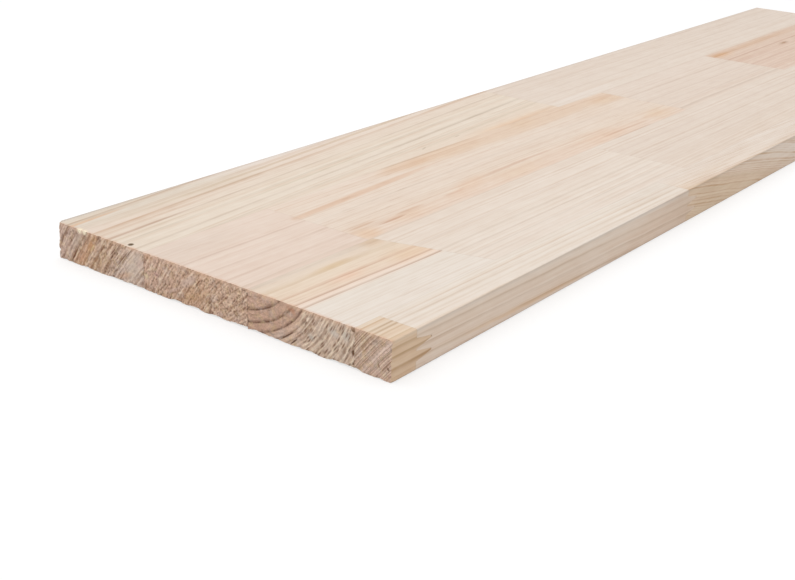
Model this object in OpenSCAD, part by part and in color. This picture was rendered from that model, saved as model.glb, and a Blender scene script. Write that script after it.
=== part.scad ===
// Edge-glued pine board: four rows of staves, each row made of shorter lengths finger-jointed end to end.
// X runs along the board from the near end to the far end, Y across it to the left edge, Z up from the underside.

/* [Board] */
// Length of the board
board_l = 800; // [760:10:1200]
// Thickness of the board
board_t = 18; // [14:0.5:28]
// Rounding sanded on the four long arrises
arris_r = 0.6; // [0.2:0.1:2]

/* [Left stave] */
// Width of the left stave
left_w = 59; // [30:0.5:90]
// Length of its first piece, from the near end to the joint
left_1_l = 353; // [100:1:500]

/* [Inner left stave] */
// Width of the inner left stave
inner_left_w = 64; // [30:0.5:90]
// Length of its first piece
inner_left_1_l = 80; // [40:0.5:120]
// Length of its second piece
inner_left_2_l = 327; // [150:0.5:360]
// Length of its third piece
inner_left_3_l = 160; // [80:1:220]

/* [Inner right stave] */
// Width of the inner right stave
inner_right_w = 58; // [30:0.5:90]
// Length of its first piece, measured along the middle of the stave
inner_right_1_l = 90.5; // [60:0.5:130]
// Length of its second piece
inner_right_2_l = 196.5; // [120:0.5:230]
// Length of its third piece
inner_right_3_l = 325; // [150:1:350]
// Skew of its first joint, which was cut out of square
inner_right_skew = 15; // [-20:0.5:20]

/* [Edge strip] */
// Width of the narrow strip at the right edge
edge_w = 19; // [12:0.5:60]
// Length of its first piece
edge_1_l = 15.5; // [10:0.5:60]
// Length of its second piece
edge_2_l = 237; // [120:1:300]
// Length of its third piece
edge_3_l = 296; // [150:1:350]

/* [Finger joint] */
// Length of a finger from its shoulder
finger_l = 10; // [6:0.5:16]
// Spacing of the fingers through the thickness
finger_pitch = 5.6; // [3.8:0.1:7]
// Width of the flat at the bottom of a finger's socket
finger_flat = 0.8; // [0.4:0.1:1.5]
// Room left for glue between a finger's tip and its socket
tip_gap = 0.3; // [0.1:0.1:0.8]
// Least square shoulder kept at each face, so that the faces show a plain butt line
least_shoulder = 3; // [2:0.5:3.5]

/* [Hidden] */
$fn = 48;
board_w = left_w + inner_left_w + inner_right_w + edge_w;

// Lower side of each row across the board
edge_y = -board_w / 2;
inner_right_y = edge_y + edge_w;
inner_left_y = inner_right_y + inner_right_w;
left_y = inner_left_y + inner_left_w;

// Each joint of a row: distance of its shoulders from the near end, and its skew
left_joints = [[left_1_l, 0]];
inner_left_joints = [
    [inner_left_1_l, 0],
    [inner_left_1_l + inner_left_2_l, 0],
    [inner_left_1_l + inner_left_2_l + inner_left_3_l, 0]
];
inner_right_joints = [
    [inner_right_1_l, inner_right_skew],
    [inner_right_1_l + inner_right_2_l, 0],
    [inner_right_1_l + inner_right_2_l + inner_right_3_l, 0]
];
edge_joints = [
    [edge_1_l, 0],
    [edge_1_l + edge_2_l, 0],
    [edge_1_l + edge_2_l + edge_3_l, 0]
];

// Tone of each piece from the near end on
left_tones = ["#e3d2be", "#e4d6c6"];
inner_left_tones = ["#e4d3c4", "#e4cdb8", "#e5d5c6", "#dfc6b4"];
inner_right_tones = ["#e5d0bb", "#e8ddce", "#e5d5c6", "#e6d7c8"];
edge_tones = ["#cfb699", "#e7dacd", "#ddcbb4", "#e3d3c1"];

// Fingers that the thickness holds between two shoulders, and half a finger's height at its root
finger_n = max(1, floor((board_t - 2 * least_shoulder + finger_flat) / finger_pitch));
root_half = (finger_pitch - finger_flat) / 2;

// What a cutting body reaches past the stock that it cuts
over = 5;

// Names of the pieces of a row with these joints
function piece_names(row, joints) = [for (k = [1 : len(joints) + 1]) str(row, "_", k)];

// Height of finger k, counted down from the top face
function finger_z(k) = board_t / 2 + ((finger_n - 1) / 2 - k) * finger_pitch;

// Half a finger's height at a distance from the shoulder: the flanks taper evenly from root to flat
function half_height(x) = root_half - (root_half - finger_flat / 2) * x / finger_l;

// The four corners of finger k when it is this long
function finger(k, reach) = [
    [0, finger_z(k) + root_half],
    [reach, finger_z(k) + half_height(reach)],
    [reach, finger_z(k) - half_height(reach)],
    [0, finger_z(k) - root_half]
];

// Everything of a row before one of its joints, up to the shoulders and fingers of this length
module before_joint(joint, y, w, reach) {
    run = joint[0] + w + over;
    outline = concat(
        [[-run, -over], [-run, board_t + over], [0, board_t + over]],
        [for (k = [0 : finger_n - 1]) each finger(k, reach)],
        [[0, -over]]
    );
    translate([joint[0] - board_l / 2, y + w / 2, 0])
        rotate([90, 0, joint[1]])
            linear_extrude(2 * (w + over), center = true)
                polygon(outline);
}

// Piece k of a row, cut out of the whole bar that is given as the child
module piece(joints, k, y, w) {
    difference() {
        if (k > len(joints)) {
            children();
        } else {
            intersection() {
                children();
                before_joint(joints[k - 1], y, w, finger_l - tip_gap);
            }
        }
        if (k > 1) before_joint(joints[k - 2], y, w, finger_l);
    }
}

// What sanding takes off a square arris with its corner at the origin and its stock towards -X, -Y
module arris_waste() {
    difference() {
        translate([-arris_r, -arris_r]) square(arris_r + over);
        translate([-arris_r, -arris_r]) circle(arris_r);
    }
}

// Whole bar of a row, square all round
module square_bar(y, w) {
    translate([-board_l / 2, y, 0]) cube([board_l, w, board_t]);
}

// Whole bar of a row at the edge of the board, with both outer arrises eased; its outer side is at y = w
module outer_bar(y, w) {
    translate([-board_l / 2, y, 0])
        rotate([90, 0, 90])
            linear_extrude(board_l)
                difference() {
                    square([w, board_t]);
                    translate([w, board_t]) arris_waste();
                    translate([w, 0]) mirror([0, 1]) arris_waste();
                }
}

// Pieces of the left stave
module left_stave(k) {
    color(left_tones[k - 1])
        piece(left_joints, k, left_y, left_w) outer_bar(left_y, left_w);
}

// Pieces of the inner left stave
module inner_left_stave(k) {
    color(inner_left_tones[k - 1])
        piece(inner_left_joints, k, inner_left_y, inner_left_w) square_bar(inner_left_y, inner_left_w);
}

// Pieces of the inner right stave
module inner_right_stave(k) {
    color(inner_right_tones[k - 1])
        piece(inner_right_joints, k, inner_right_y, inner_right_w) square_bar(inner_right_y, inner_right_w);
}

// Pieces of the edge strip, whose outer side is the board's right edge
module edge_strip(k) {
    color(edge_tones[k - 1])
        piece(edge_joints, k, edge_y, edge_w) mirror([0, 1, 0]) outer_bar(-edge_y - edge_w, edge_w);
}

for (k = [1 : len(left_joints) + 1])
    left_stave(k);
for (k = [1 : len(inner_left_joints) + 1])
    inner_left_stave(k);
for (k = [1 : len(inner_right_joints) + 1])
    inner_right_stave(k);
for (k = [1 : len(edge_joints) + 1])
    edge_strip(k);
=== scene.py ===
import math

import bmesh
import bpy
import numpy as np
from mathutils import Matrix, Vector


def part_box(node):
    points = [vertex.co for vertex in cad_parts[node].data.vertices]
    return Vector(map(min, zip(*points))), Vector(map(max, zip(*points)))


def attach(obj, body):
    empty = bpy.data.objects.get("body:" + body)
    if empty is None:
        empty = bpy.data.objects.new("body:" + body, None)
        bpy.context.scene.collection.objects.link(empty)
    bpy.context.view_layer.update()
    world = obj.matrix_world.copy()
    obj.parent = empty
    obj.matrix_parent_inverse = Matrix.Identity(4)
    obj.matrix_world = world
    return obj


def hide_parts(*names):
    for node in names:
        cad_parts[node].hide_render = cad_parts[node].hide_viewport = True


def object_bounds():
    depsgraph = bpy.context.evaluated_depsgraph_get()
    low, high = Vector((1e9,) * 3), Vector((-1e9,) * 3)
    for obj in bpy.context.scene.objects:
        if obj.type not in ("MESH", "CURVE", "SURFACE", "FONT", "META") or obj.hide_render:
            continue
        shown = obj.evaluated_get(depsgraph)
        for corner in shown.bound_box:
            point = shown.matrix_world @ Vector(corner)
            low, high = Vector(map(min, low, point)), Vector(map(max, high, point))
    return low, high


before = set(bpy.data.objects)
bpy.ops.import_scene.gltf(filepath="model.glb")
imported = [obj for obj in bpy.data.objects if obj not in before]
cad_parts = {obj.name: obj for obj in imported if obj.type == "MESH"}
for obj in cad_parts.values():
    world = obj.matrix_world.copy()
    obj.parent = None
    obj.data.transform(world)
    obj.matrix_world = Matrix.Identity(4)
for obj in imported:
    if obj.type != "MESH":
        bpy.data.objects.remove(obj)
cadLow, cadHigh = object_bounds()

# Places on the board are millimetres: X from the near end, Y from the right edge, Z from the underside
mm = 0.001
boardLength, boardThick = [(cadHigh[axis] - cadLow[axis]) / mm for axis in (0, 2)]
boardCorner = np.array(cadLow) / mm

board = {
    "arrisRadius": 0.6,          # rounding of the long outer edges
    "arrisSteps": 5,
    "shadeFrom": 0.2,            # painted shade on a lower arris, standing in for the contact shadow: full to here, gone after its reach
    "shadeReach": 0.6,
    "lowerShade": 0.6,           # its share there
    "topReach": 3.0,             # on a top arris
    "underWidth": 0.3,           # and in the thin line below it, across and down
    "underReach": 1.0,
    "shadeLength": 120.0,        # over this length from the near end it thins to the share that is left
    "shadeRest": 0.4,
    "easeHeight": 2.0,           # lines nearer than this to a face follow the rounding
    "seamWidth": 0.5,            # how far the dark of a glue line reaches
    "sawnStep": 0.25,            # grid on a sawn end
    "farSawnStep": 0.5,
    "plainStep": 6.0,            # grid on planed faces away from a sawn end
    "stationStep": 12.0,         # and along them
    "sharpAngle": 40.0,          # edges past this turn, in degrees, stay sharp
    "lineDigits": 6,             # grid lines that agree to this many digits are one
    "weldSteps": 1e4,            # steps to a millimetre: points in the same step are one
    "pitSteep": 2.5,             # how quickly a pit rises from its middle
}
fingers = {
    "count": 2,
    "length": 10.0,
    "pitch": 5.6,
    "tipFlat": 0.8,
    "tipGap": 0.3,               # glue room at the finger tips
}
sawCut = {
    "depth": 0.45,               # deepest tear of the saw, inside the square end
    "fade": 2.0,                 # how far the tear reaches along the faces
    "stations": (0, 2.0, 8.0),   # cross lines behind a sawn end stand closer up to the last of these
    "stationStep": 0.4,
    "fibre": (0.65, 2.6),        # torn bundles of fibres, across the rings and along them
    "thread": (0.5, 1.1),
    "fleck": 0.8,
    "shares": (0.5, 0.28, 0.22),  # of fibres, threads and flecks in the tear
    "chipHeight": 0.9,           # ragged lower edge
    "chipReach": 1.8,
    "chipRise": 1.8,
    "chipWave": 6.0,             # long bites and short teeth along it
    "chipTooth": 1.2,
    "toothShare": 0.25,
    "biteFrom": 0.32,            # share of the waves that bites
    "biteSteep": 2.2,
    "nickDepth": 1.1,            # nicks down the outer upright edges
    "nickReach": 2.5,
    "nickSize": 1.4,
    "wearFrom": 4.0,             # height from which a corner is worn
    "splinterDrop": 0.3,         # splinters broken out of the top edge
    "splinterReach": 2.4,
    "splinterShow": 2.0,         # how soon a splinter is fully pale
    "rimReach": 2.0,             # rubbed wood along the top edge
    "rimPatch": 2.5,
}
bakeMap = {                      # room of a piece's faces in its map
    "gap": 0.012,
    "under": 0.5,                # share of a seen face's room
    "glued": 0.12,
    "joint": 0.2,
    "evenSplit": 0.5,            # the near end's part of the ends' room
    "sawnSplit": 0.85,           # a sawn end's part, where the other is a joint
}


# sRGB hex to linear colour: the two-part sRGB curve, undone
def linearColour(hexColour):
    channels = np.array([int(hexColour[i:i + 2], 16) for i in (1, 3, 5)]) / 255
    curve = np.where(channels <= 0.04045, channels / 12.92, ((channels + 0.055) / 1.055) ** 2.4)
    return np.append(curve, 1.0)


# Sets a node's inputs, listed in order or by socket, each to a link or a value
def setInputs(tree, node, inputs):
    for socket, value in inputs.items() if isinstance(inputs, dict) else enumerate(inputs):
        if isinstance(value, bpy.types.NodeSocket):
            tree.links.new(value, node.inputs[socket])
        else:
            node.inputs[socket].default_value = value


# One node with its settings, its inputs and the stops of a ramp; gives the output asked for, or all
def addNode(tree, kind, inputs=(), stops=None, out=0, **settings):
    node = tree.nodes.new("ShaderNode" + kind)
    for name, value in settings.items():
        setattr(node, name, value)
    setInputs(tree, node, inputs)
    if stops:
        ramp = node.color_ramp.elements
        while len(ramp) < len(stops):
            ramp.new(1.0)
        for stop, (position, colour) in zip(ramp, stops):
            stop.position = position
            stop.color = colour
    return node.outputs if out is None else node.outputs[out]


# Empty material that uses nodes
def newMaterial(name):
    material = bpy.data.materials.new(name)
    material.use_nodes = True
    return material


# Object that holds a mesh, a lamp or a camera, in the scene
def addObject(name, data):
    made = bpy.data.objects.new(name, data)
    bpy.context.scene.collection.objects.link(made)
    return made


# Places in order, with each gap between the given ones filled evenly by cells about one step wide
def spread(places, step):
    places = sorted(set(places))
    gaps = [np.linspace(a, b, max(1, round((b - a) / step)), endpoint=False)
            for a, b in zip(places, places[1:])]
    return np.append(np.concatenate(gaps), places[-1])


# Value noise: random heights at whole numbers, eased between them by 3t^2 - 2t^3
def valueNoise(a, b, seed):
    side = 256
    heights = np.random.default_rng(seed).random((side, side))
    lowA, lowB = np.floor(a).astype(int), np.floor(b).astype(int)
    easeA, easeB = [t * t * (3 - 2 * t) for t in (a - lowA, b - lowB)]
    lowA, lowB, highA, highB = [n % side for n in (lowA, lowB, lowA + 1, lowB + 1)]
    near = heights[lowA, lowB] * (1 - easeA) + heights[highA, lowB] * easeA
    far = heights[lowA, highB] * (1 - easeA) + heights[highA, highB] * easeA
    return near * (1 - easeB) + far * easeB


# Value noise along a line, midway between two rows of heights
def lineNoise(a, seed):
    return valueNoise(a, np.full_like(a, 0.5), seed)


# Fall from 1 at nothing to 0 at the given reach, straight
def fall(distance, reach):
    return np.clip(1 - distance / reach, 0, 1)


# Middle heights of the fingers, stacked evenly about half the thickness
def fingerCentres():
    return boardThick / 2 + (np.arange(fingers["count"]) - (fingers["count"] - 1) / 2) * fingers["pitch"]


# Reach of the fingers at a height: straight flanks from the root to a flat tip, cut off at the length
def fingerReach(z, length):
    rootHalf = (fingers["pitch"] - fingers["tipFlat"]) / 2
    slope = fingers["length"] / (rootHalf - fingers["tipFlat"] / 2)
    flank = np.max([(rootHalf - np.abs(z - centre)) * slope for centre in fingerCentres()], axis=0)
    return np.clip(flank, 0, length)


# Heights at which the finger profile turns
def fingerHeights():
    rootHalf = (fingers["pitch"] - fingers["tipFlat"]) / 2
    tipHalf = fingers["tipFlat"] / 2
    cutHalf = tipHalf + (rootHalf - tipHalf) * fingers["tipGap"] / fingers["length"]
    return [centre + side * half for centre in fingerCentres() for side in (-1, 1)
            for half in (rootHalf, tipHalf, cutHalf)]


# Distance from the pith to a place across the top face, where the piece starts
def ringOf(piece, y):
    return math.hypot(y - piece["pith"][0], boardThick - piece["pith"][1])


# Torn grain of a sawn end, 0 on a ridge to 1 in a pit: bundles of fibres in rings round the pith, short
# across them and longer along them, finer threads, and round flecks, torn more or less across the row
def tornGrain(piece, y, z):
    across, upward = y - piece["pith"][0], z - piece["pith"][1]
    ring = np.hypot(across, upward)
    arc = np.arctan2(upward, across) * ringOf(piece, (piece["low"] + piece["high"]) / 2)
    fibres, threads = [valueNoise(ring / wide, arc / long, piece["seed"] + number)
                       for number, (wide, long) in enumerate((sawCut["fibre"], sawCut["thread"]))]
    flecks = valueNoise(y / sawCut["fleck"], z / sawCut["fleck"], piece["seed"] + 2)
    mixed = sum(share * layer for share, layer in zip(sawCut["shares"], (fibres, threads, flecks)))
    tear = np.interp(y, *zip(*sorted(piece["sawn"]["tear"])))
    return np.clip(0.5 + 2 * tear * (mixed - 0.5), 0, 1)


# Distance from the outer long edge, for rows that have one
def outerDistance(piece, y):
    if piece["outer"] == "left":
        return piece["high"] - y
    if piece["outer"] == "right":
        return y - piece["low"]
    return np.full_like(y, np.inf)


# Share of fresh pale wood where splinters broke out of the top edge of the near end
def freshWood(piece, x, y, z):
    spots = [np.exp(-((y - place) / half) ** 2) for place, half in piece["splinters"]]
    if not spots:
        return np.zeros_like(x)
    reach = sawCut["splinterReach"]
    share = sawCut["splinterShow"] * np.max(spots, axis=0) * fall(x, reach) * fall(boardThick - z, reach)
    return np.clip(share, 0, 1)


# Share of rubbed, warmer wood along the top edge of a sawn near end, uneven along it
def warmRim(piece, x, y, z):
    if piece["near"] != "sawn":
        return np.zeros_like(x)
    worn = lineNoise(y / sawCut["rimPatch"], piece["seed"] + 6)
    return worn * fall(x, sawCut["rimReach"]) * fall(boardThick - z, sawCut["rimReach"])


# Painted shade in an arris: a painted contact shadow on the lower outer edge and, by each length's own
# share, painted edge shade on the top one, both thinning away from the near end, and in a thin line just
# below the top one
def arrisShadeShare(piece, x, y, z):
    outside = outerDistance(piece, y)
    lower = board["lowerShade"] * fall(np.hypot(outside, z) - board["shadeFrom"], board["shadeReach"])
    upper = piece["topShade"] * fall(np.hypot(outside, boardThick - z), board["topReach"])
    along = board["shadeRest"] + (1 - board["shadeRest"]) * fall(x, board["shadeLength"])
    below = boardThick - board["arrisRadius"] - z
    under = fall(below, board["underReach"]) * fall(outside, board["underWidth"])
    return np.maximum(along * np.maximum(lower, upper), piece["sideShade"] * under)


# Moves points of a square-ended piece to the sawn surface. The tear pushes them in along X and fades with
# the distance from the end; chips lift the lower edge in long bites with short teeth, nicks press in the
# outer upright edge, and splinters lower the top edge, each by an amount that fades over its own reach
def sawnSurface(piece, points, ends):
    x, y, z = points.T
    outside = outerDistance(piece, y)
    for end, inward in ends:
        distance = (x - end) * inward
        torn = tornGrain(piece, y, z)
        waves = lineNoise(y / sawCut["chipWave"], piece["seed"] + 3)
        teeth = lineNoise(y / sawCut["chipTooth"], piece["seed"] + 4)
        bite = waves + sawCut["toothShare"] * (teeth - 0.5) - sawCut["biteFrom"]
        chip = sawCut["chipHeight"] * np.clip(sawCut["biteSteep"] * bite, 0, 1)
        chip = chip * fall(distance, sawCut["chipReach"]) * fall(z, sawCut["chipRise"])
        nick = sawCut["nickDepth"] * lineNoise(z / sawCut["nickSize"], piece["seed"] + 5) ** 2
        worn = np.clip((z - sawCut["wearFrom"]) / (boardThick - sawCut["wearFrom"]), 0, 1)
        nick = nick + piece["cornerWear"] * worn
        nick = nick * fall(distance, sawCut["nickReach"]) * fall(outside, sawCut["nickReach"])
        broken = sawCut["splinterDrop"] * freshWood(piece, distance, y, z)
        x = x + inward * fall(distance, sawCut["fade"]) * sawCut["depth"] * torn
        y = y + nick * (-1 if piece["outer"] == "left" else 1)
        z = z + chip - broken
    return np.stack([x, y, z], 1)


# Small pit in the top face: a smooth bowl, deepest in the middle, round its place
def pitted(piece, points):
    for x, y, length, width, depth in piece["pits"]:
        reach = ((points[:, 0] - x) / length) ** 2 + ((points[:, 1] - y) / width) ** 2
        bowl = np.exp(-board["pitSteep"] * reach)
        points[:, 2] -= depth * bowl * fall(boardThick - points[:, 2], depth)
    return points


# Quads that join each point of a grid to its neighbours
def gridFaces(rows, columns, first):
    index = first + np.arange(rows * columns).reshape(rows, columns)
    corners = [index[:-1, :-1], index[:-1, 1:], index[1:, 1:], index[1:, :-1]]
    return np.stack(corners, -1).reshape(-1, 4)


# Height of a line across the section: straight in the middle, following the rounded arris near a face
def easedHeight(piece, y, z):
    radius, ease = board["arrisRadius"], board["easeHeight"]
    inset = np.clip(radius - outerDistance(piece, y), 0, radius)
    drop = radius - np.sqrt(radius ** 2 - inset ** 2)
    lower = drop + z / ease * (ease - drop)
    upper = boardThick - drop - (boardThick - z) / ease * (ease - drop)
    return np.where(z < ease, lower, np.where(z > boardThick - ease, upper, z))


# X of a piece's end at a point of the section: square where sawn, the finger profile on a plain or skewed
# line where joined
def endPlace(piece, which, y, z):
    place = piece["start"] if which == "near" else piece["end"]
    if piece[which] == "sawn":
        return np.full_like(y, place)
    length = fingers["length"] - (fingers["tipGap"] if which == "far" else 0)
    skew = math.radians(piece[which + "Skew"])
    middle = (piece["low"] + piece["high"]) / 2
    return place + fingerReach(z, length) / math.cos(skew) - (y - middle) * math.tan(skew)


# The lines of a piece's grid: shares of its length, places across it and heights, close near a sawn end
def pieceLines(piece, sawnEnds):
    step = board["plainStep"]
    if sawnEnds:
        step = board["sawnStep"] if "near" in sawnEnds else board["farSawnStep"]
    seam, length = board["seamWidth"], piece["end"] - piece["start"]
    reach = board["shadeFrom"] + board["shadeReach"]
    arc = board["arrisRadius"] * (1 - np.sin(np.linspace(0, math.pi / 2, board["arrisSteps"] + 1)))
    edges = [piece["low"], piece["low"] + seam, piece["high"] - seam, piece["high"]]
    if piece["outer"] == "left":
        edges = [piece["low"], piece["low"] + seam, piece["high"] - reach, *(piece["high"] - arc)]
    if piece["outer"] == "right":
        edges = [*(piece["low"] + arc), piece["low"] + reach, piece["high"] - seam, piece["high"]]
    ease, digits = board["easeHeight"], board["lineDigits"]
    heights = [0, reach, ease, boardThick - ease, boardThick - reach, boardThick, *fingerHeights()]
    close = spread(sawCut["stations"], sawCut["stationStep"])
    near = close if "near" in sawnEnds else np.array([0, seam])
    far = length - (close if "far" in sawnEnds else np.array([0, seam]))
    share = spread(np.round([*near, *far], digits), board["stationStep"]) / length
    return share, spread(np.round(edges, digits), step), spread(np.round(heights, digits), step)


# The six faces of a piece as grids of (share of the length, y, z), each with its room in the bake map
def pieceGrids(piece):
    sawnEnds = [which for which in ("near", "far") if piece[which] == "sawn"]
    share, ys, zs = pieceLines(piece, sawnEnds)
    across, upright = piece["high"] - piece["low"], boardThick
    rooms = {
        "top": across,
        "bottom": across * bakeMap["under"],
        "lowSide": upright * (1 if piece["outer"] == "right" else bakeMap["glued"]),
        "highSide": upright * (1 if piece["outer"] == "left" else bakeMap["glued"]),
        "ends": upright * (1 if sawnEnds else bakeMap["joint"]),
    }
    gap = bakeMap["gap"]
    scale = (1 - gap * (len(rooms) + 1)) / sum(rooms.values())
    tops = np.cumsum([gap + room * scale for room in rooms.values()])
    spans = {name: (top - room * scale, top) for (name, room), top in zip(rooms.items(), tops)}
    nearShare = bakeMap["evenSplit"]
    if len(sawnEnds) == 1:
        nearShare = bakeMap["sawnSplit"] if "near" in sawnEnds else 1 - bakeMap["sawnSplit"]
    split = gap + (1 - 2 * gap) * nearShare

    faces = [
        ("planed", share, ys, zs[-1:], (gap, 1 - gap), spans["top"]),
        ("planed", share, ys, zs[:1], (gap, 1 - gap), spans["bottom"]),
        ("planed", share, ys[:1], zs, (gap, 1 - gap), spans["lowSide"]),
        ("planed", share, ys[-1:], zs, (gap, 1 - gap), spans["highSide"]),
        (piece["near"], share[:1], ys, zs, (gap, split - gap / 2), spans["ends"]),
        (piece["far"], share[-1:], ys, zs, (split + gap / 2, 1 - gap), spans["ends"]),
    ]
    return [(kind, np.meshgrid(*lines, indexing="ij"), wide, high) for kind, *lines, wide, high in faces]


# How near each point is to a glued edge, 1 on it and 0 from the seam's width on
def seamShare(piece, x, y, near, far):
    glued = [np.full(x.shape, np.inf)]
    if piece["outer"] != "right":
        glued.append(y - piece["low"])
    if piece["outer"] != "left":
        glued.append(piece["high"] - y)
    if piece["near"] == "joint":
        glued.append(x - near)
    if piece["far"] == "joint":
        glued.append(far - x)
    return fall(np.min(glued, axis=0), board["seamWidth"])


# Closed mesh of a piece: its six grids set in place, roughened where sawn, and welded along shared edges
def makePiece(piece):
    places, faces, corners, sawnFaces = [], [], [], []
    marks = {"seam": [], "torn": [], "fresh": [], "rim": [], "arrisShade": []}
    count = 0
    for kind, grid, (u0, u1), (v0, v1) in pieceGrids(piece):
        shape = [n for n in grid[0].shape if n > 1]
        share, y, line = [axis.reshape(shape) for axis in grid]
        z = easedHeight(piece, y, line)
        near, far = endPlace(piece, "near", y, line), endPlace(piece, "far", y, line)
        x = near + (far - near) * share
        places.append(np.stack([x, y, z], -1).reshape(-1, 3))
        u, v = np.meshgrid(np.linspace(0, 1, shape[0]), np.linspace(0, 1, shape[1]), indexing="ij")
        if share[0, 0] != share[-1, 0]:        # a long face: its room follows the length
            u = share
        corners.append(np.stack([u0 + (u1 - u0) * u, v0 + (v1 - v0) * v], -1).reshape(-1, 2))
        quads = gridFaces(*shape, count)
        faces.append(quads)
        sawnFaces.append(np.full(len(quads), kind == "sawn"))
        count += x.size
        marks["seam"].append(seamShare(piece, x, y, near, far).ravel())
        marks["torn"].append(tornGrain(piece, y, z).ravel())
        marks["fresh"].append(freshWood(piece, x, y, z).ravel())
        marks["rim"].append(warmRim(piece, x, y, z).ravel())
        # the arris mark is painted shade: a contact shadow on the lower arris, and edge shade at the top
        # arris and just below it
        marks["arrisShade"].append(arrisShadeShare(piece, x, y, z).ravel())
    places, faces, corners = np.concatenate(places), np.concatenate(faces), np.concatenate(corners)

    ends = []
    if piece["near"] == "sawn":
        ends.append((piece["start"], 1))
    if piece["far"] == "sawn":
        ends.append((piece["end"], -1))
    places = pitted(piece, sawnSurface(piece, places, ends))
    steps = np.round(places * board["weldSteps"]).astype(np.int64)
    _, first, joined = np.unique(steps, axis=0, return_index=True, return_inverse=True)
    points = (places[first] + boardCorner) * mm

    mesh = bpy.data.meshes.new(piece["node"] + "_pine")
    mesh.from_pydata(points.tolist(), [], joined.ravel()[faces].tolist())
    mesh.polygons.foreach_set("material_index", np.concatenate(sawnFaces).astype(np.int32))
    bake = mesh.uv_layers.new(name="OFBake")
    bake.data.foreach_set("uv", corners[faces.ravel()].ravel().astype(np.float32))
    for name, values in marks.items():
        attribute = mesh.attributes.new(name, "FLOAT", "POINT")
        attribute.data.foreach_set("value", np.concatenate(values)[first].astype(np.float32))
    shell = bmesh.new()
    shell.from_mesh(mesh)
    bmesh.ops.recalc_face_normals(shell, faces=shell.faces)
    shell.to_mesh(mesh)
    shell.free()
    mesh.shade_smooth()
    mesh.set_sharp_from_angle(angle=math.radians(board["sharpAngle"]))
    return addObject(mesh.name, mesh)


# A pattern is its cells' size along, across and through the board in millimetres, its detail, the noise
# levels where it starts and where it is full, and its share at each of the two
grain = {
    "sway": ((130, 22, 22), 2.0, 0.0, 1.0),      # slow wander of the rings, by each piece's own amount
    "quiver": ((24, 6, 6), 2.0, 0.0, 1.0, -0.3, 0.3),
    "lineEnd": 0.3,              # a latewood line ends within this share of its width
    "rampRoom": 3.0,             # ring colours run on this far past the corners
    "rimInner": 0.5,             # a soft rim's part inside the mark
    "tintMost": 1.5,             # a patch lightens the wood at most this many times
}


# Ramp of the rings: clear-wood colours at their places on the top face, and over them each latewood line,
# which darkens slowly outward from the pith and ends abruptly
def ringStops(piece, ground, lines):
    corners = [math.hypot(y - piece["pith"][0] - piece["drift"] * x, z - piece["pith"][1])
               for y in (piece["low"], piece["high"]) for z in (0, boardThick)
               for x in (0, piece["end"] - piece["start"])]
    low, high = min(corners) - grain["rampRoom"], max(corners) + grain["rampRoom"]
    rings, *channels = zip(*sorted((ringOf(piece, y), *linearColour(colour)) for y, colour in ground))

    # Clear wood at a ring distance: straight between the given colours
    def clearAt(ring):
        return np.array([np.interp(ring, rings, channel) for channel in channels])

    marks = [(ring, clearAt(ring)) for ring in rings]
    for y, width, colour in lines:
        ring = ringOf(piece, y)
        start, end = ring - width, ring + grain["lineEnd"] * width
        marks = [mark for mark in marks if not start < mark[0] < end]
        marks += [(start, clearAt(start)), (ring, linearColour(colour)), (end, clearAt(end))]
    marks.sort(key=lambda mark: mark[0])
    return low, high, [((ring - low) / (high - low), tuple(colour)) for ring, colour in marks]


# Colours over the ring distance: clear wood, and the wood with its lines laid over it by their share
def woodTone(tree, piece, ring, shown, ground, lines):
    tones = []
    for drawn in ([], lines):
        low, high, stops = ringStops(piece, ground, drawn)
        share = addNode(tree, "MapRange", [ring, low, high])
        tones.append(addNode(tree, "ValToRGB", [share], stops))
    return addNode(tree, "Mix", {0: shown, 6: tones[0], 7: tones[1]}, out=2, data_type="RGBA")


# Share of an uneven pattern: noise in cells of the pattern's own size, spread between its two shares
def patternShare(tree, place, pattern):
    size, detail, start, full, least, most = pattern
    cells = addNode(tree, "VectorMath", [place, [1 / side for side in size]], operation="MULTIPLY")
    noise = addNode(tree, "TexNoise", {"Vector": cells, "Scale": 1.0, "Detail": detail})
    return addNode(tree, "MapRange", [noise, start, full, least, most])


# Share of fine growth rings: noise over the ring distance alone, between two levels and within a mask
def fineRings(tree, ring, spacing, start, full, share, mask):
    thin = addNode(tree, "TexNoise", {"W": ring, "Scale": 1 / spacing, "Detail": 1.0},
                   noise_dimensions="1D")
    stripe = addNode(tree, "MapRange", [thin, start, full, 0.0, share])
    return addNode(tree, "Math", [stripe, mask], operation="MULTIPLY")


# Shared start of a pine material: the place in millimetres, the way from the pith across the section, and
# the ring distance, swayed by slow and quick noise
def grainNodes(tree, piece):
    coordinates = addNode(tree, "TexCoord", out="Object")
    place = addNode(tree, "VectorMath", [coordinates, (1 / mm,) * 3, tuple(-boardCorner)],
                    operation="MULTIPLY_ADD")
    drift = piece["drift"]
    across = addNode(tree, "VectorMath", [place, (-drift, 1, 0)], out="Value", operation="DOT_PRODUCT")
    upward = addNode(tree, "SeparateXYZ", [place], out="Z")
    section = addNode(tree, "CombineXYZ", [across, upward])
    pith = (piece["pith"][0] - drift * piece["start"], piece["pith"][1], 0)
    fromPith = addNode(tree, "VectorMath", [section, pith], operation="SUBTRACT")
    ring = addNode(tree, "VectorMath", [fromPith], out="Value", operation="LENGTH")
    for pattern in ((*grain["sway"], -piece["sway"], piece["sway"]), grain["quiver"]):
        bend = patternShare(tree, place, pattern)
        ring = addNode(tree, "Math", [ring, bend], operation="ADD")
    return place, fromPith, ring


# Share of a drawn mark: 1 inside an ellipse of half-size 1, falling to 0 over a ragged soft rim
def markShare(tree, along, across, soft, ragged):
    both = addNode(tree, "CombineXYZ", [along, across])
    reach = addNode(tree, "VectorMath", [both], out="Value", operation="LENGTH")
    uneven = addNode(tree, "Math", [ragged, soft, reach], operation="MULTIPLY_ADD")
    return addNode(tree, "MapRange", [uneven, 1 + soft, 1 - grain["rimInner"] * soft],
                   interpolation_type="SMOOTHSTEP")


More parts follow.
